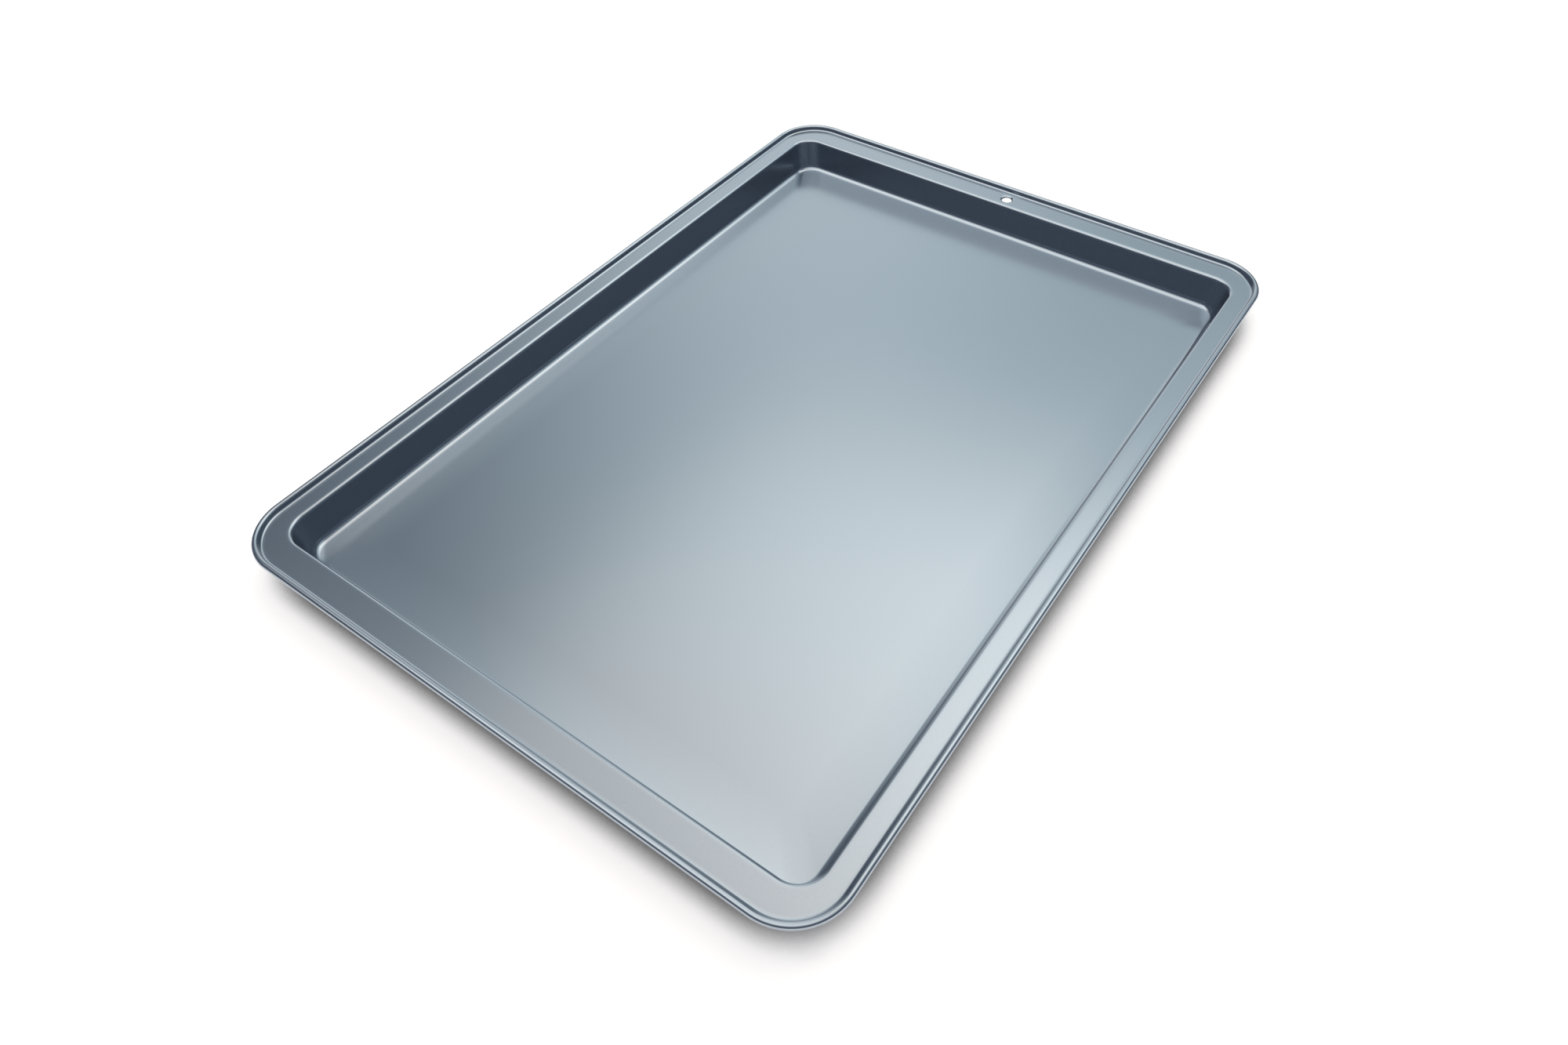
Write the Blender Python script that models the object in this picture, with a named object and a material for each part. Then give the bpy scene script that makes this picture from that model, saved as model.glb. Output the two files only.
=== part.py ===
# Rectangular cookie sheet: one pressed steel tray whose edge is curled over a closed wire ring.
# Metres, +Z up. X runs across the tray, Y along it, and the hang hole is at the +Y end.
# The origin is the centre of the floor's underside, where the tray rests.

import bpy
import bmesh
from math import acos, atan2, cos, pi, radians, sin, sqrt, tan

# Overall sizes
overall_length = 0.430          # along Y, over the curled edge
overall_width = 0.302           # along X, over the curled edge
inside_depth = 0.0177           # from the flange's top face down to the floor's top face
sheet_thickness = 0.0005

# Curled edge and the wire in it
wire_diameter = 0.0014
wire_clearance = 0.0003         # between the wire and the inside of the curl
bead_rise = 0.00115             # height of the wire's centre above the flange's top face
rim_corner_radius = 0.0255      # outside of the bead, seen from above
step_fillet_radius = 0.0012     # where the flange turns up into the bead
edge_clearance = 0.0004         # from the raw edge of the curl to the step's underside

# Flange
side_flange_width = 0.0070      # flat width along the long sides
end_flange_width = 0.0106       # flat width along the short sides

# Well
flange_fillet_radius = 0.0028   # top face, from the flange down into the wall
floor_fillet_radius = 0.0025    # top face, from the wall into the floor
wall_draft = radians(6)         # lean of the walls from upright
well_corner_radius = 0.0130     # at the flange, and the bend keeps its radius round the corner
floor_corner_radius = 0.0090    # at the floor, likewise

# Hang hole, in the middle of the flange at the +Y end
hole_diameter = 0.0060
dish_diameter = 0.0084          # where the turned-down edge of the hole starts
dish_fillet_radius = 0.0016     # top face
dish_margin = 0.0030            # flat sheet left of and right of the dish in its own panel

# Facets
corner_steps = 12               # along each rounded corner
curl_steps = 18                 # round the curl
fillet_steps = 5
hole_steps = 32
dish_steps = 4
wire_sides = 12

# Sizes that follow from the ones above
bead_radius = wire_diameter / 2 + wire_clearance + sheet_thickness
flange_top = sheet_thickness + inside_depth
bead_height = flange_top + bead_rise
step_centre_gap = bead_radius + step_fillet_radius     # from the wire's centre to the step fillet's
step_reach = sqrt(step_centre_gap ** 2 - (step_fillet_radius - bead_rise) ** 2)
rim_half = (overall_width / 2 - bead_radius, overall_length / 2 - bead_radius)
rim_radius = rim_corner_radius - bead_radius
well_half = (
    rim_half[0] - step_reach - side_flange_width,
    rim_half[1] - step_reach - end_flange_width,
)
fillet_sum = flange_fillet_radius + floor_fillet_radius
wall_reach = (
    fillet_sum * cos(wall_draft)
    + (inside_depth - fillet_sum * (1 - sin(wall_draft))) * tan(wall_draft)
)
dish_half = dish_diameter / 2 + dish_margin
hole_centre_y = (well_half[1] + rim_half[1] - step_reach) / 2


def clear_scene():
    for item in list(bpy.data.objects):
        bpy.data.objects.remove(item, do_unlink=True)


def steps(first, last, count):
    # count + 1 even values from first to last
    return [first + (last - first) * k / count for k in range(count + 1)]


def rounded_outline(half_x, half_y, radius):
    # Corners run counter-clockwise from +X +Y. Two more points at the +Y side frame the hole's panel.
    outline = []
    for quarter, (side_x, side_y) in enumerate(((1, 1), (-1, 1), (-1, -1), (1, -1))):
        centre_x = side_x * (half_x - radius)
        centre_y = side_y * (half_y - radius)
        for angle in steps(quarter * pi / 2, (quarter + 1) * pi / 2, corner_steps):
            outline.append((centre_x + radius * cos(angle), centre_y + radius * sin(angle)))
        if quarter == 0:
            outline.append((dish_half, half_y))
            outline.append((-dish_half, half_y))
    return outline


# A station is a place on the sheet's cross-section: its ring's outline, its height and the direction
# that its top face looks in, as outward and upward shares. The underside lies one sheet behind it.

def rim_station(out, height, face_out, face_up):
    # out is measured from the wire's centre line
    def ring(behind):
        moved = out - behind * face_out
        outline = rounded_outline(rim_half[0] + moved, rim_half[1] + moved, rim_radius + moved)
        return [(x, y, height - behind * face_up) for x, y in outline]
    return ring


def well_station(inset, corner, height, lean):
    # inset is measured in from the flange's inner edge, and lean is the top face's tilt from level
    def ring(behind):
        moved = behind * sin(lean)
        outline = rounded_outline(
            well_half[0] - inset + moved,
            well_half[1] - inset + moved,
            corner + moved,
        )
        return [(x, y, height - behind * cos(lean)) for x, y in outline]
    return ring


def well_stations():
    # from the floor's edge up to the flange's inner edge
    steepest = pi / 2 - wall_draft
    stations = []
    for lean in steps(0, steepest, fillet_steps):
        outward = floor_fillet_radius * sin(lean)
        height = sheet_thickness + floor_fillet_radius * (1 - cos(lean))
        stations.append(well_station(wall_reach - outward, floor_corner_radius + outward, height, lean))
    for lean in steps(steepest, 0, fillet_steps):
        inset = flange_fillet_radius * sin(lean)
        height = flange_top - flange_fillet_radius * (1 - cos(lean))
        stations.append(well_station(inset, well_corner_radius - inset, height, lean))
    return stations


def curl_end_angle(meeting):
    # seen from the wire's centre, 0 pointing out and 90 up: the raw edge stops short of the step
    kept_off = step_fillet_radius + sheet_thickness + edge_clearance
    apart = (step_centre_gap ** 2 + bead_radius ** 2 - kept_off ** 2) / (2 * step_centre_gap * bead_radius)
    return meeting - pi + acos(apart)


def rim_stations():
    # from the flange's outer edge, up the step and round the curl to the raw edge
    stations = []
    meeting = atan2(bead_rise - step_fillet_radius, step_reach)
    for angle in steps(-pi / 2, meeting, fillet_steps):
        out = -step_reach + step_fillet_radius * cos(angle)
        height = flange_top + step_fillet_radius * (1 + sin(angle))
        stations.append(rim_station(out, height, -cos(angle), -sin(angle)))
    for angle in steps(pi + meeting, curl_end_angle(meeting), curl_steps)[1:]:
        out = bead_radius * cos(angle)
        height = bead_height + bead_radius * sin(angle)
        stations.append(rim_station(out, height, cos(angle), sin(angle)))
    return stations


def hole_rings(behind):
    # circles from the flat flange down the turned-down edge to the hole
    deepest = (dish_diameter - hole_diameter) / 2 / dish_fillet_radius
    last_lean = atan2(deepest, sqrt(1 - deepest ** 2))
    bend = dish_fillet_radius - behind
    rings = []
    for lean in steps(0, last_lean, dish_steps):
        radius = dish_diameter / 2 - bend * sin(lean)
        height = flange_top - dish_fillet_radius + bend * cos(lean)
        ring = []
        for k in range(hole_steps):
            angle = 2 * pi * k / hole_steps
            ring.append((radius * cos(angle), hole_centre_y + radius * sin(angle), height))
        rings.append(ring)
    return rings


def add_ring(bm, points):
    return [bm.verts.new(point) for point in points]


def join_rings(bm, first, second, left_out=None):
    # a band of quads between two rings, without the face at left_out
    count = len(first)
    for k in range(count):
        after = (k + 1) % count
        if k != left_out:
            bm.faces.new((first[k], first[after], second[after], second[k]))


def fill_panel(bm, corners, circle):
    # the flat sheet between a four-cornered panel and the circle in it, both counter-clockwise
    quarter = len(circle) // 4
    for side in range(4):
        corner = corners[side]
        for k in range(side * quarter, (side + 1) * quarter):
            bm.faces.new((circle[k], corner, circle[(k + 1) % len(circle)]))
        start = circle[(side + 1) * quarter % len(circle)]
        bm.faces.new((start, corner, corners[(side + 1) % 4]))


def finish_object(name, bm, material, sharp_angle):
    bmesh.ops.recalc_face_normals(bm, faces=bm.faces)
    mesh = bpy.data.meshes.new(name)
    bm.to_mesh(mesh)
    bm.free()
    mesh.materials.append(material)
    mesh.shade_smooth()
    mesh.set_sharp_from_angle(angle=sharp_angle)
    item = bpy.data.objects.new(name, mesh)
    bpy.context.scene.collection.objects.link(item)
    return item


def plain_material(name, colour, metallic, roughness):
    material = bpy.data.materials.new(name)
    material.use_nodes = True
    shader = material.node_tree.nodes["Principled BSDF"]
    shader.inputs["Base Color"].default_value = (*colour, 1)
    shader.inputs["Metallic"].default_value = metallic
    shader.inputs["Roughness"].default_value = roughness
    return material


def coating_material():
    return plain_material("blue_grey_nonstick", (0.24, 0.29, 0.33), 0.7, 0.34)


def wire_material():
    return plain_material("drawn_steel_wire", (0.55, 0.55, 0.56), 1.0, 0.35)


def hole_panel_corners(inner, outer):
    # the two framing points on each ring, counter-clockwise from +X +Y
    frame = corner_steps + 1
    return (outer[frame], outer[frame + 1], inner[frame + 1], inner[frame])


def make_tray():
    bm = bmesh.new()
    well = well_stations()
    rim = rim_stations()
    stations = well + rim
    top = [add_ring(bm, ring(0)) for ring in stations]
    under = [add_ring(bm, ring(sheet_thickness)) for ring in stations]
    panel_band = len(well) - 1      # the flat flange lies between the well and the rim
    panel_face = corner_steps + 1
    for skin in (top, under):
        for band in range(len(stations) - 1):
            left_out = panel_face if band == panel_band else None
            join_rings(bm, skin[band], skin[band + 1], left_out)
        bm.faces.new(skin[0])
    join_rings(bm, top[-1], under[-1])

    edges_of_hole = []
    for skin, behind in ((top, 0), (under, sheet_thickness)):
        circles = [add_ring(bm, ring) for ring in hole_rings(behind)]
        corners = hole_panel_corners(skin[panel_band], skin[panel_band + 1])
        fill_panel(bm, corners, circles[0])
        for outer, inner in zip(circles, circles[1:]):
            join_rings(bm, outer, inner)
        edges_of_hole.append(circles[-1])
    join_rings(bm, edges_of_hole[0], edges_of_hole[1])
    return finish_object("baking_tray", bm, coating_material(), radians(40))


def make_wire():
    bm = bmesh.new()
    rings = []
    for k in range(wire_sides):
        angle = 2 * pi * k / wire_sides
        moved = wire_diameter / 2 * cos(angle)
        height = bead_height + wire_diameter / 2 * sin(angle)
        outline = rounded_outline(rim_half[0] + moved, rim_half[1] + moved, rim_radius + moved)
        rings.append(add_ring(bm, [(x, y, height) for x, y in outline]))
    for k in range(wire_sides):
        join_rings(bm, rings[k], rings[(k + 1) % wire_sides])
    return finish_object("rim_wire", bm, wire_material(), radians(60))


def main():
    clear_scene()
    make_tray()
    make_wire()


main()
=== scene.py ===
# Coated steel cookie sheet: the finishes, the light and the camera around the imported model.

from math import acos, atan2, cos, pi, radians, sin, sqrt, tan

import bmesh
import bpy
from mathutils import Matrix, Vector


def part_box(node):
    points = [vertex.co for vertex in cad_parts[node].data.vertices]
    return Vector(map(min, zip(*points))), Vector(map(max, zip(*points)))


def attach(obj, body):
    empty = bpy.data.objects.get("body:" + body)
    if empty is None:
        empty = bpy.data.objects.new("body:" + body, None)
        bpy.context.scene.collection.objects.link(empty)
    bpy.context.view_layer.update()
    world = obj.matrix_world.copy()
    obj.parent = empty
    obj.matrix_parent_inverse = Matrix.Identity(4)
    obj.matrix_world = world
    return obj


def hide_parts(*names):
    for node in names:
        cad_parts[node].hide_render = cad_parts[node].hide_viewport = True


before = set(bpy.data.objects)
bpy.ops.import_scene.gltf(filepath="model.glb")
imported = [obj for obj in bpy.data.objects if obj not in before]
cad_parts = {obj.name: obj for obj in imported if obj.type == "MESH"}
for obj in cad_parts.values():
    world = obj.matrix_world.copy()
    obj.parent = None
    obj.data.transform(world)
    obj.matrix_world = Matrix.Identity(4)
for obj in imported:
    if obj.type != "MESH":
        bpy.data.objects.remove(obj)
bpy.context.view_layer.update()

mm = 0.001


def hexColour(code):
    # an sRGB hex code as a linear colour
    shares = [int(code[k:k + 2], 16) / 255 for k in (1, 3, 5)]
    return tuple(s / 12.92 if s <= 0.04045 else ((s + 0.055) / 1.055) ** 2.4 for s in shares) + (1.0,)


def addNode(tree, kind, settings={}, values={}, links={}):
    node = tree.nodes.new(kind)
    for name, value in settings.items():
        setattr(node, name, value)
    for socket, value in values.items():
        node.inputs[socket].default_value = value
    for socket, source in links.items():
        tree.links.new(source, node.inputs[socket])
    return node


def evenSteps(first, last, count):
    return [first + (last - first) * k / count for k in range(count + 1)]


# The pressed tray. The photo shows one sheet: bead, step, flat flange, drafted wall and flat floor.
trayLow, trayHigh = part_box("baking_tray")
traySizes = {
    "width": trayHigh.x - trayLow.x,        # over the bead
    "length": trayHigh.y - trayLow.y,
    "height": trayHigh.z,                   # from the table to the top of the bead
    "sheet": 0.5 * mm,
    "beadRadius": 1.5 * mm,                 # outside of the curl
    "beadRise": 1.15 * mm,                  # from the step's foot up to the bead's middle
    "stepFillet": 1.2 * mm,                 # where the flange turns up into the bead
    "curlGap": 0.4 * mm,                    # from the raw edge to the step's underside
    "flangeLead": (1.2 * mm, 1.2 * mm),     # soft parts of the flange, towards the well and the step
    "flangeTilt": (radians(3), radians(4)),
    "leadSteps": 5,
    "sideFlange": 7.6 * mm,                 # from the step to the well, along the long sides
    "endFlange": 11.3 * mm,                 # and along the short ones
    "flangeFillet": 1.8 * mm,
    "floorFillet": 3.6 * mm,
    "draft": radians(10),                   # a little more than in the solids, for the lifted floor edge
    "rimCorner": 25.5 * mm,
    "wellCorner": 13.0 * mm,                # at the flange
    "floorCorner": 8.3 * mm,
    "floorLift": 22.0 * mm,                 # width of the floor's edge, which rises a little to the wall
    "floorTilt": radians(4.0),              # its slope where the bend into the wall starts
    "liftSteps": 10,
    "supportLoop": 0.4 * mm,                # narrow flat band beside a bend, which keeps the flats flat
    "hole": 5.4 * mm,
    "dish": 8.2 * mm,                       # where the hole's turned-down edge starts
    "dishFillet": 1.54 * mm,
    "holePanel": 14.4 * mm,                 # width of the flange piece that makes way for the dish
    "cornerSteps": 24,
    "beadSteps": 16,                        # per half turn
    "bendSteps": 8,
    "holeSteps": 48,
    "hair": 0.01 * mm,                      # points nearer than this count as one
    "crispAngle": radians(40),              # a sharper edge than this keeps its line
}

# What follows from those sizes
beadHeight = traySizes["height"] - traySizes["beadRadius"]
stepFoot = beadHeight - traySizes["beadRise"]
centreGap = traySizes["beadRadius"] + traySizes["stepFillet"]   # from the bead's middle to the step bend's
stepReach = sqrt(centreGap ** 2 - (traySizes["stepFillet"] - traySizes["beadRise"]) ** 2)
meeting = atan2(traySizes["beadRise"] - traySizes["stepFillet"], stepReach)     # where bead and step meet
outerHalf = (traySizes["width"] / 2, traySizes["length"] / 2)
wellHalf = (
    outerHalf[0] - traySizes["beadRadius"] - stepReach - traySizes["sideFlange"],
    outerHalf[1] - traySizes["beadRadius"] - stepReach - traySizes["endFlange"],
)
edgeLift = traySizes["floorLift"] * tan(traySizes["floorTilt"]) / 2
floorEdge = traySizes["sheet"] + edgeLift
steepest = pi / 2 - traySizes["draft"]
holeY = (wellHalf[1] + outerHalf[1] - traySizes["beadRadius"] - stepReach) / 2


def roundedPlate(name, half, corner, height):
    # a flat plate with round corners, left in edit mode with its one face selected
    bpy.ops.object.select_all(action="DESELECT")
    bpy.ops.mesh.primitive_plane_add(size=2, location=(0, 0, 0))
    plate = bpy.context.object
    plate.name = name
    bpy.ops.object.mode_set(mode="EDIT")
    bpy.ops.transform.resize(value=(half[0], half[1], 1), center_override=(0, 0, 0))
    bpy.ops.transform.translate(value=(0, 0, height))
    bpy.ops.mesh.bevel(offset=corner, segments=traySizes["cornerSteps"], affect="VERTICES")
    bpy.ops.mesh.select_mode(type="FACE")
    bpy.ops.mesh.select_all(action="SELECT")
    return plate


def followSection(points):
    # each inset carries the selected face on to the next (inward, height) point
    for (inward, height), (nextInward, nextHeight) in zip(points, points[1:]):
        bpy.ops.mesh.inset(thickness=nextInward - inward, depth=nextHeight - height)


def openMiddle():
    # takes the selected face out and leaves edit mode
    bpy.ops.mesh.delete(type="ONLY_FACE")
    bpy.ops.object.mode_set(mode="OBJECT")


def joinPieces(main, others):
    bpy.ops.object.select_all(action="DESELECT")
    for piece in [main, *others]:
        piece.select_set(True)
    bpy.context.view_layer.objects.active = main
    bpy.ops.object.join()
    bpy.ops.object.mode_set(mode="EDIT")


def selectEdges(wanted):
    bpy.ops.mesh.select_mode(type="EDGE")
    bpy.ops.mesh.select_all(action="DESELECT")
    mesh = bpy.context.object.data
    shell = bmesh.from_edit_mesh(mesh)
    for edge in shell.edges:
        if wanted(edge):
            edge.select_set(True)
    bmesh.update_edit_mesh(mesh)


def bridgeOpenEdges(low, high):
    # joins the two open loops that lie between these heights
    def wanted(edge):
        return edge.is_boundary and all(low < v.co.z < high for v in edge.verts)
    selectEdges(wanted)
    bpy.ops.mesh.bridge_edge_loops()


def beadArc(end):
    # round the bead from its widest line to the end angle
    radius = traySizes["beadRadius"]
    angles = evenSteps(0, end, traySizes["beadSteps"])
    return [(radius * (1 - cos(angle)), beadHeight + radius * sin(angle)) for angle in angles]


def bendRim():
    # over the top of the bead, down the step and on to the flat of the flange
    s = traySizes
    lead = s["flangeLead"][1]
    tilt = s["flangeTilt"][1]
    section = beadArc(pi + meeting)
    for angle in evenSteps(meeting, tilt - pi / 2, s["bendSteps"])[1:]:
        inward = s["beadRadius"] + stepReach - s["stepFillet"] * cos(angle)
        section.append((inward, stepFoot + s["stepFillet"] * (1 + sin(angle))))
    leadStart, leadHeight = section[-1]
    leadDrop = lead * tan(tilt) / 2
    for share in evenSteps(0, 1, s["leadSteps"])[1:]:
        drop = leadDrop * (1 - (1 - share) ** 2)
        section.append((leadStart + share * lead, leadHeight - drop))
    flangeTop = leadHeight - leadDrop
    section.append((section[-1][0] + s["supportLoop"], flangeTop))
    tray = roundedPlate("pressed_tray", outerHalf, s["rimCorner"], beadHeight)
    followSection(section)
    openMiddle()
    return tray, flangeTop


def bendCurl():
    # the lower half of the curl, from the bead's widest line down and in to the raw edge
    s = traySizes
    keptOff = s["stepFillet"] + s["sheet"] + s["curlGap"]
    apart = (centreGap ** 2 + s["beadRadius"] ** 2 - keptOff ** 2) / (2 * centreGap * s["beadRadius"])
    curl = roundedPlate("curl", outerHalf, s["rimCorner"], beadHeight)
    followSection(beadArc(meeting - pi + acos(apart)))
    openMiddle()
    return curl


def bendWellEdge(flangeTop):
    # the bend from the flange into the wall, and where it ends, measured in from the well's edge
    s = traySizes
    lead = s["flangeLead"][0]
    tilt = s["flangeTilt"][0]
    growth = lead + s["supportLoop"]
    section = [(-growth, flangeTop)]
    leadDrop = lead * tan(tilt) / 2
    for share in evenSteps(0, 1, s["leadSteps"]):
        section.append((lead * (share - 1), flangeTop - leadDrop * share ** 2))
    for lean in evenSteps(tilt, steepest, s["bendSteps"])[1:]:
        inward = s["flangeFillet"] * (sin(lean) - sin(tilt))
        section.append((inward, flangeTop - leadDrop - s["flangeFillet"] * (cos(tilt) - cos(lean))))
    plateHalf = [side + growth for side in wellHalf]
    wellEdge = roundedPlate("well_edge", plateHalf, s["wellCorner"] + growth, flangeTop)
    followSection(section)
    openMiddle()
    return wellEdge, section[-1]


def bendFloor(wallTop):
    # the bend from the wall into the floor, and the floor with its lifted edge
    s = traySizes
    bend = []
    for lean in evenSteps(steepest, s["floorTilt"], s["bendSteps"]):
        height = floorEdge + s["floorFillet"] * (cos(s["floorTilt"]) - cos(lean))
        bend.append((s["floorFillet"] * (sin(steepest) - sin(lean)), height))
    bendReach = s["floorFillet"] * sin(steepest)
    wallDrop = wallTop[1] - bend[0][1]
    plateHalf = [side - wallTop[0] - wallDrop * tan(s["draft"]) for side in wellHalf]
    floorPan = roundedPlate("floor_pan", plateHalf, s["floorCorner"] + bendReach, bend[0][1])
    followSection(bend)
    half = [side - bend[-1][0] for side in plateHalf]
    stepWidth = s["floorLift"] / s["liftSteps"]
    for k in range(s["liftSteps"]):
        left = s["liftSteps"] - k
        drop = edgeLift * (left ** 2 - (left - 1) ** 2) / s["liftSteps"] ** 2
        bpy.ops.mesh.inset(thickness=s["hair"], depth=-drop)
        factors = [(side - stepWidth) / (side - s["hair"]) for side in half]
        bpy.ops.transform.resize(value=(*factors, 1), center_override=(0, 0, 0))
        half = [side - stepWidth for side in half]
    bpy.ops.object.mode_set(mode="OBJECT")
    return floorPan


def cutHolePanel(tray, flangeTop):
    # a panel of the far flange gives way to the hang hole
    panelHalf = traySizes["holePanel"] / 2
    for side in (-1, 1):
        bpy.ops.mesh.select_all(action="SELECT")
        bpy.ops.mesh.bisect(plane_co=(side * panelHalf, 0, 0), plane_no=(1, 0, 0))
    shell = bmesh.from_edit_mesh(tray.data)
    bpy.ops.mesh.select_mode(type="FACE")
    bpy.ops.mesh.select_all(action="DESELECT")
    for face in shell.faces:
        centre = face.calc_center_median()
        level = abs(centre.z - flangeTop) < traySizes["sheet"]
        onFlange = abs(centre.y - holeY) < traySizes["endFlange"] / 2 and level
        face.select_set(abs(centre.x) < panelHalf and onFlange)
    bmesh.update_edit_mesh(tray.data)
    openMiddle()


def sinkDish(flangeTop):
    # the hole's turned-down edge, from a disc inset downwards
    s = traySizes
    deepest = (s["dish"] - s["hole"]) / 2 / s["dishFillet"]
    section = []
    for lean in evenSteps(0, atan2(deepest, sqrt(1 - deepest ** 2)), s["bendSteps"]):
        section.append((s["dishFillet"] * sin(lean), flangeTop - s["dishFillet"] * (1 - cos(lean))))
    bpy.ops.object.select_all(action="DESELECT")
    bpy.ops.mesh.primitive_circle_add(
        vertices=s["holeSteps"], radius=s["dish"] / 2, fill_type="NGON", location=(0, holeY, flangeTop)
    )
    dish = bpy.context.object
    bpy.ops.object.transform_apply(location=True, rotation=True, scale=True)
    bpy.ops.object.mode_set(mode="EDIT")
    bpy.ops.mesh.select_mode(type="FACE")
    bpy.ops.mesh.select_all(action="SELECT")
    followSection(section)
    openMiddle()
    return dish


def bridgeRoundDish(flangeTop):
    # the sheet between the panel's straight edges and the dish
    reach = traySizes["holePanel"] / 2 + traySizes["hair"]

    def wanted(edge):
        middle = (edge.verts[0].co + edge.verts[1].co) / 2
        beside = abs(middle.x) < reach and abs(middle.y - holeY) < traySizes["endFlange"]
        level = all(abs(v.co.z - flangeTop) < traySizes["sheet"] for v in edge.verts)
        return edge.is_boundary and beside and level
    selectEdges(wanted)
    bpy.ops.mesh.bridge_edge_loops()
    bpy.ops.object.mode_set(mode="OBJECT")


def weldAndFaceUp(tray):
    # one skin, with the floor's face looking up
    bpy.ops.mesh.select_all(action="SELECT")
    bpy.ops.mesh.remove_doubles(threshold=traySizes["hair"])
    bpy.ops.mesh.normals_make_consistent(inside=False)
    bpy.ops.object.mode_set(mode="OBJECT")
    floorFace = max(tray.data.polygons, key=lambda face: face.area)
    if floorFace.normal.z < 0:
        bpy.ops.object.mode_set(mode="EDIT")
        bpy.ops.mesh.select_all(action="SELECT")
        bpy.ops.mesh.flip_normals()
        bpy.ops.object.mode_set(mode="OBJECT")


def giveThickness(tray):
    # the sheet lies under the skin, and its flats stay flat beside the bends
    thickness = tray.modifiers.new("sheet", "SOLIDIFY")
    thickness.thickness = traySizes["sheet"]
    thickness.offset = -1
    thickness.use_even_offset = True
    bpy.ops.object.modifier_apply(modifier=thickness.name)
    bpy.ops.object.shade_smooth_by_angle(angle=traySizes["crispAngle"])
    evened = tray.modifiers.new("even flats", "WEIGHTED_NORMAL")
    evened.mode = "FACE_AREA"
    evened.keep_sharp = True
    bpy.ops.object.modifier_apply(modifier=evened.name)


def makeTray():
    tray, flangeTop = bendRim()
    curl = bendCurl()
    wellEdge, wallTop = bendWellEdge(flangeTop)
    floorPan = bendFloor(wallTop)
    print("tray: plates bent along the section")

    # the flange and the wall close the gaps between those plates
    hair = traySizes["hair"]
    joinPieces(tray, [wellEdge, floorPan])
    bridgeOpenEdges(flangeTop - hair, flangeTop + hair)
    bridgeOpenEdges(floorEdge + hair, flangeTop - hair)

    cutHolePanel(tray, flangeTop)
    dish = sinkDish(flangeTop)
    joinPieces(tray, [dish])
    bridgeRoundDish(flangeTop)
    print("tray: flange, wall and hang hole closed")

    joinPieces(tray, [curl])
    weldAndFaceUp(tray)
    giveThickness(tray)
    print("tray: one sheet,", len(tray.data.polygons), "faces")
    return tray


coatingLook = {
    "pigment": "#abb5be",       # blue-grey metal flake, seen straight on
    "pigmentDark": "#a3adb6",
    "metallic": 0.95,
    "roughness": (0.17, 0.19),
    "peelSize": 1.6 * mm,       # orange peel, crest to crest
    "peelDepth": 0.0008 * mm,
    "flakeSize": 0.5 * mm,      # real flakes are finer, and are drawn as coarse as shows
}


def nonstickCoating():
    # Sprayed and baked silicone-polyester non-stick with metal flake, which gives a soft blue-grey sheen
    # with a faint orange peel.
    look = coatingLook
    material = bpy.data.materials.new("baked_flake_nonstick")
    material.use_nodes = True
    tree = material.node_tree
    shader = tree.nodes["Principled BSDF"]
    place = addNode(tree, "ShaderNodeTexCoord").outputs["Object"]
    flake = addNode(
        tree, "ShaderNodeTexNoise",
        values={"Scale": 1 / look["flakeSize"], "Detail": 2.0},
        links={"Vector": place},
    )
    tone = addNode(
        tree, "ShaderNodeMix", settings={"data_type": "RGBA"},
        values={"A": hexColour(look["pigmentDark"]), "B": hexColour(look["pigment"])},
        links={"Factor": flake.outputs["Fac"]},
    )
    tree.links.new(tone.outputs["Result"], shader.inputs["Base Color"])
    satin = addNode(
        tree, "ShaderNodeMapRange",
        values={"To Min": look["roughness"][0], "To Max": look["roughness"][1]},
        links={"Value": flake.outputs["Fac"]},
    )
    tree.links.new(satin.outputs["Result"], shader.inputs["Roughness"])
    peel = addNode(
        tree, "ShaderNodeTexNoise",
        values={"Scale": 1 / look["peelSize"], "Detail": 1.0},
        links={"Vector": place},
    )
    relief = addNode(
        tree, "ShaderNodeBump",
        values={"Strength": 1.0, "Distance": look["peelDepth"]},
        links={"Height": peel.outputs["Fac"]},
    )
    tree.links.new(relief.outputs["Normal"], shader.inputs["Normal"])
    shader.inputs["Metallic"].default_value = look["metallic"]
    return material


wireLook = {
    "steel": "#c4c4c6",
    "roughness": 0.32,
    "lineSize": 0.15 * mm,      # between the marks of the drawing die
    "lineDepth": 0.003 * mm,
}


def drawnWire():
    # Drawn carbon steel wire, bare: bright with fine die lines.
    look = wireLook
    material = bpy.data.materials.new("drawn_steel_wire")
    material.use_nodes = True
    tree = material.node_tree
    shader = tree.nodes["Principled BSDF"]
    place = addNode(tree, "ShaderNodeTexCoord").outputs["Object"]
    lines = addNode(
        tree, "ShaderNodeTexNoise",
        values={"Scale": 1 / look["lineSize"], "Detail": 2.0},
        links={"Vector": place},
    )
    relief = addNode(
        tree, "ShaderNodeBump",
        values={"Distance": look["lineDepth"]},
        links={"Height": lines.outputs["Fac"]},
    )
    tree.links.new(relief.outputs["Normal"], shader.inputs["Normal"])
    shader.inputs["Base Color"].default_value = hexColour(look["steel"])
    shader.inputs["Roughness"].default_value = look["roughness"]
    shader.inputs["Metallic"].default_value = 1.0
    return material


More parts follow.
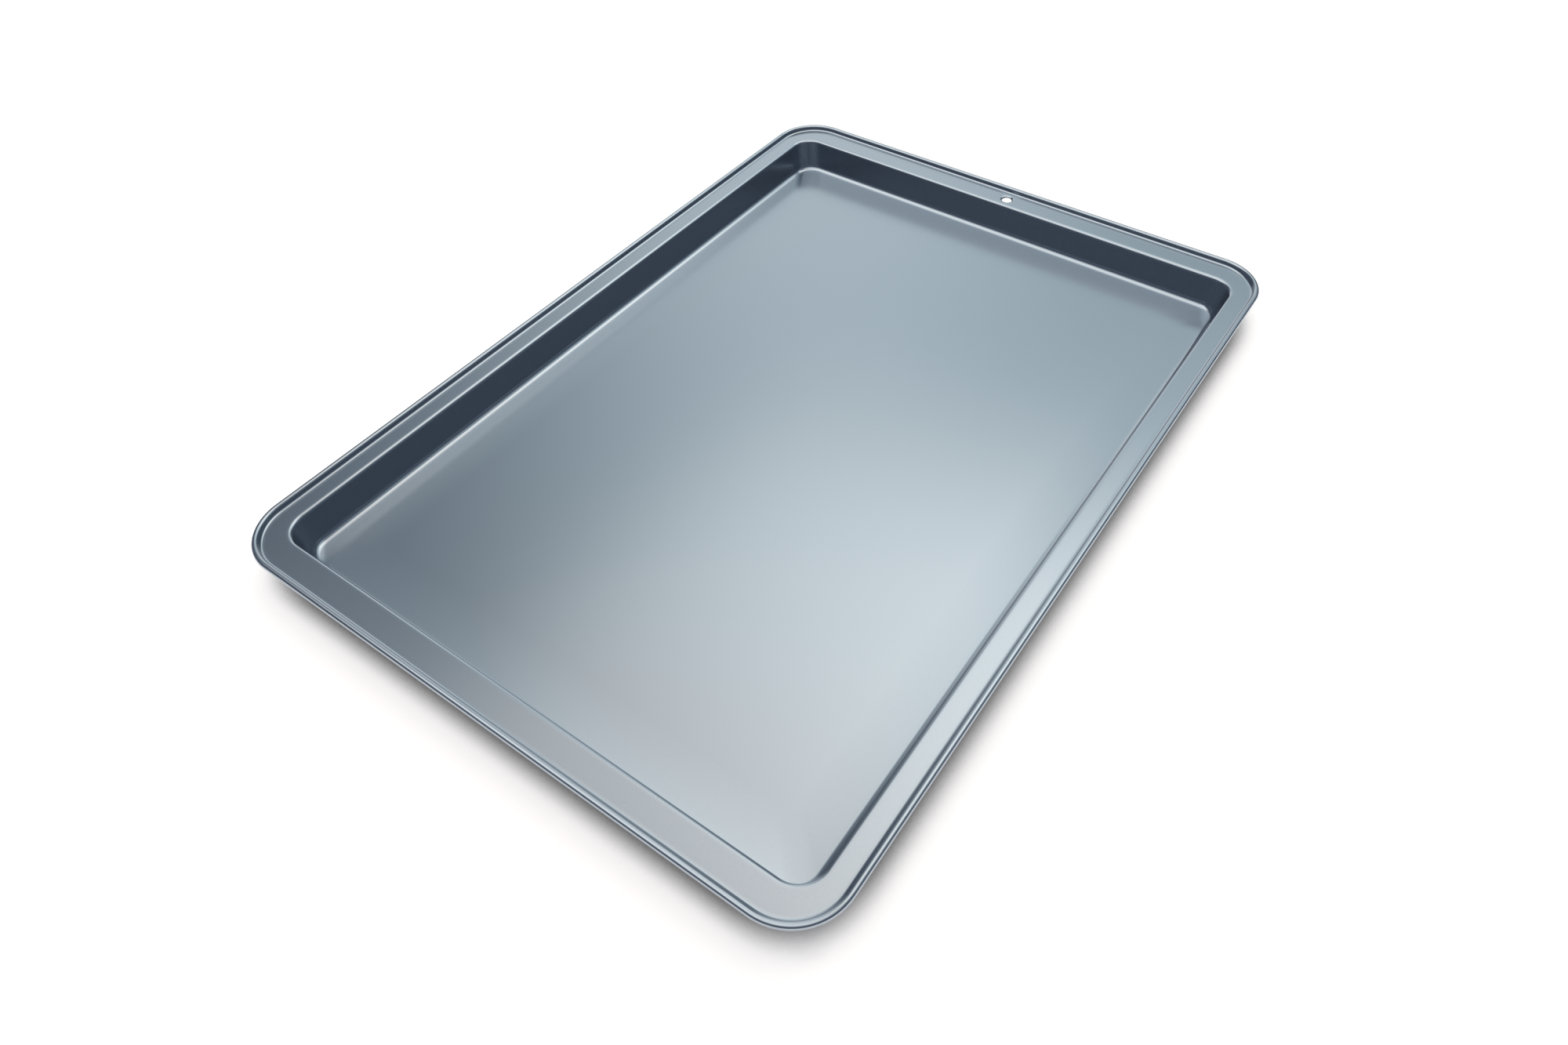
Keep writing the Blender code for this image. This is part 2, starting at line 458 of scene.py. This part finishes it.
studio = {
    "tableSize": 8.0,
    "tableDrop": 0.1 * mm,          # below the tray, so the two faces never meet
    "tableColour": "#f5f0ee",
    "paintedShadeColour": "#100e0c",        # painted shade: the table's colour where the tray all but touches it
    "tableWhite": 0.45,             # added for the camera and in reflections, and faded with the painted shade where the tray is near
    "contactReach": 25 * mm,        # how near the tray has to be for the painted shade on the table
    "contactOpen": (0.37, 0.80),    # openness at which the table is all painted shade, and has none
    "contactSamples": 16,
    "room": 0.175,                  # world strength where nothing bright stands
    "roomColour": "#d0e1ff",
    "backdrop": 1.6,                # a pale backdrop low at the far side, added to the room
    "backdropWay": (-0.621, 0.741, 0.257),
    "backdropReach": (0.85, 1.11),
    "backdropColour": "#fffef9",
    "horizonFade": 0.1,             # upward share of a ray at which the softboxes reach full strength
    "slopeFloor": 0.1,              # the least that a sloping softbox keeps of its strength
    "softboxes": (                  # level boxes, placed in shares of their height above the tray
        {
            "across": (-0.68, 0.37), "acrossFade": (0.21, 0.1),
            "along": (0.23, 0.95), "alongFade": (0.11, 0.46),
            "slope": (0.8, -0.21), "strength": 1.47, "colour": "#ffefe0",
        },
        {
            "across": (-0.86, 0.72), "acrossFade": (0.5, 1.2),
            "along": (-0.86, 0.17), "alongFade": (0.9, 0.2),
            "slope": (-0.3, 0.36), "strength": 1.5, "colour": "#fffbf4",
        },
        {
            "across": (-1.01, 1.02), "acrossFade": (1.23, 1.5),
            "along": (0.41, 1.71), "alongFade": (0.71, 0.3),
            "slope": (0.11, -0.14), "strength": 0.86, "colour": "#f1fffd",
        },
    ),
}


def seenRays(tree):
    # 1 for rays from the camera, in a reflection or through glass
    path = addNode(tree, "ShaderNodeLightPath")
    either = addNode(
        tree, "ShaderNodeMath", settings={"operation": "MAXIMUM"},
        links={0: path.outputs["Is Camera Ray"], 1: path.outputs["Is Glossy Ray"]},
    )
    return addNode(
        tree, "ShaderNodeMath", settings={"operation": "MAXIMUM"},
        links={0: either.outputs[0], 1: path.outputs["Is Transmission Ray"]},
    ).outputs[0]


def makeTable():
    bpy.ops.object.select_all(action="DESELECT")
    bpy.ops.mesh.primitive_plane_add(size=studio["tableSize"], location=(0, 0, -studio["tableDrop"]))
    table = bpy.context.object
    table.name = "table"
    bpy.ops.object.transform_apply(location=True, rotation=True, scale=True)
    material = bpy.data.materials.new("pale_table")
    material.use_nodes = True
    tree = material.node_tree
    tree.nodes.clear()
    # painted shade: near the tray, ambient occlusion mixes the table's colour towards the painted shade colour
    # and fades its added white, on top of the shadow the light casts
    openness = addNode(
        tree, "ShaderNodeAmbientOcclusion", settings={"samples": studio["contactSamples"]},
        values={"Distance": studio["contactReach"]},
    ).outputs["AO"]
    contact = addNode(
        tree, "ShaderNodeMapRange", settings={"interpolation_type": "SMOOTHSTEP"},
        values={"From Min": studio["contactOpen"][0], "From Max": studio["contactOpen"][1]},
        links={"Value": openness},
    ).outputs["Result"]
    tone = addNode(
        tree, "ShaderNodeMix", settings={"data_type": "RGBA"},
        values={"A": hexColour(studio["paintedShadeColour"]), "B": hexColour(studio["tableColour"])},
        links={"Factor": contact},
    )
    paint = addNode(tree, "ShaderNodeBsdfDiffuse", links={"Color": tone.outputs["Result"]})
    white = addNode(
        tree, "ShaderNodeMath", settings={"operation": "MULTIPLY"},
        values={1: studio["tableWhite"]}, links={0: contact},
    )
    share = addNode(
        tree, "ShaderNodeMath", settings={"operation": "MULTIPLY"},
        links={0: white.outputs[0], 1: seenRays(tree)},
    )
    glow = addNode(tree, "ShaderNodeEmission", links={"Strength": share.outputs[0]})
    lit = addNode(tree, "ShaderNodeAddShader", links={0: paint.outputs[0], 1: glow.outputs[0]})
    below = addNode(tree, "ShaderNodeNewGeometry").outputs["Backfacing"]
    clear = addNode(tree, "ShaderNodeBsdfTransparent")
    oneSided = addNode(
        tree, "ShaderNodeMixShader",
        links={"Fac": below, 1: lit.outputs[0], 2: clear.outputs[0]},
    )
    addNode(tree, "ShaderNodeOutputMaterial", links={"Surface": oneSided.outputs[0]})
    table.data.materials.append(material)


def makeWorld():
    # white behind the object, and for its light a dim room with a pale backdrop and softboxes overhead
    world = bpy.data.worlds.new("studio")
    bpy.context.scene.world = world
    world.use_nodes = True
    tree = world.node_tree
    tree.nodes.clear()
    way = addNode(tree, "ShaderNodeTexCoord").outputs["Generated"]

    def ramp(source, start, end, top):
        # from 0 at start to top at end, eased at both
        return addNode(
            tree, "ShaderNodeMapRange", settings={"interpolation_type": "SMOOTHSTEP"},
            values={"From Min": start, "From Max": end, "To Min": 0.0, "To Max": top},
            links={"Value": source},
        ).outputs["Result"]

    def combine(operation, *terms):
        # each term is an output socket or a plain number
        plain = {k: term for k, term in enumerate(terms) if isinstance(term, float)}
        linked = {k: term for k, term in enumerate(terms) if k not in plain}
        return addNode(
            tree, "ShaderNodeMath", settings={"operation": operation}, values=plain, links=linked
        ).outputs[0]

    def glow(colour, strength):
        return addNode(
            tree, "ShaderNodeBackground", values={"Color": hexColour(colour)}, links={"Strength": strength}
        ).outputs[0]

    toBackdrop = addNode(
        tree, "ShaderNodeVectorMath", settings={"operation": "DOT_PRODUCT"},
        values={1: studio["backdropWay"]}, links={0: way},
    ).outputs["Value"]
    backdrop = ramp(toBackdrop, *studio["backdropReach"], studio["backdrop"])
    light = addNode(
        tree, "ShaderNodeBackground",
        values={"Color": hexColour(studio["roomColour"]), "Strength": studio["room"]},
    ).outputs[0]
    light = addNode(
        tree, "ShaderNodeAddShader", links={0: light, 1: glow(studio["backdropColour"], backdrop)}
    ).outputs[0]

    # where a ray meets the plane overhead, across and along the tray
    axes = addNode(tree, "ShaderNodeSeparateXYZ", links={"Vector": way})
    across = combine("DIVIDE", axes.outputs["X"], axes.outputs["Z"])
    along = combine("DIVIDE", axes.outputs["Y"], axes.outputs["Z"])
    overhead = ramp(axes.outputs["Z"], 0.0, studio["horizonFade"], 1.0)
    for box in studio["softboxes"]:
        strength = combine("MULTIPLY", overhead, box["strength"])
        for place, ends, fades in (
            (across, box["across"], box["acrossFade"]),
            (along, box["along"], box["alongFade"]),
        ):
            low = ramp(place, ends[0] - fades[0] / 2, ends[0] + fades[0] / 2, 1.0)
            high = ramp(place, ends[1] + fades[1] / 2, ends[1] - fades[1] / 2, 1.0)
            strength = combine("MULTIPLY", combine("MULTIPLY", strength, low), high)
        tilt = combine("MULTIPLY_ADD", across, box["slope"][0], 1.0)
        tilt = combine("MULTIPLY_ADD", along, box["slope"][1], tilt)
        strength = combine("MULTIPLY", strength, combine("MAXIMUM", tilt, studio["slopeFloor"]))
        light = addNode(
            tree, "ShaderNodeAddShader", links={0: light, 1: glow(box["colour"], strength)}
        ).outputs[0]

    white = addNode(tree, "ShaderNodeBackground", values={"Color": (1, 1, 1, 1), "Strength": 1.0})
    path = addNode(tree, "ShaderNodeLightPath")
    seen = addNode(
        tree, "ShaderNodeMixShader",
        links={"Fac": path.outputs["Is Camera Ray"], 1: light, 2: white.outputs[0]},
    )
    addNode(tree, "ShaderNodeOutputWorld", links={"Surface": seen.outputs[0]})


cameraSetup = {
    "place": (0.2132, -0.3051, 0.3554),
    "turn": (40.95, 1.16, 35.50),   # degrees
    "lens": 23.96,                  # millimetres, as is the sensor's width
    "sensor": 36,
    "nearest": 10 * mm,
}


def makeCamera():
    # the photo's viewing angle, solved from the straight lines of the tray
    data = bpy.data.cameras.new("camera")
    data.lens = cameraSetup["lens"]
    data.sensor_width = cameraSetup["sensor"]
    data.clip_start = cameraSetup["nearest"]
    camera = bpy.data.objects.new("camera", data)
    bpy.context.scene.collection.objects.link(camera)
    camera.location = cameraSetup["place"]
    camera.rotation_euler = [radians(a) for a in cameraSetup["turn"]]
    bpy.context.scene.camera = camera


pressedTray = makeTray()
pressedTray.data.materials.clear()
pressedTray.data.materials.append(nonstickCoating())
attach(pressedTray, "root")
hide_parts("baking_tray")

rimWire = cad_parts["rim_wire"]
rimWire.data.materials.clear()
rimWire.data.materials.append(drawnWire())
print("materials: coating and wire")

makeTable()
makeWorld()
makeCamera()
bpy.context.scene.view_settings.view_transform = "Standard"
print("studio: table, world and camera")
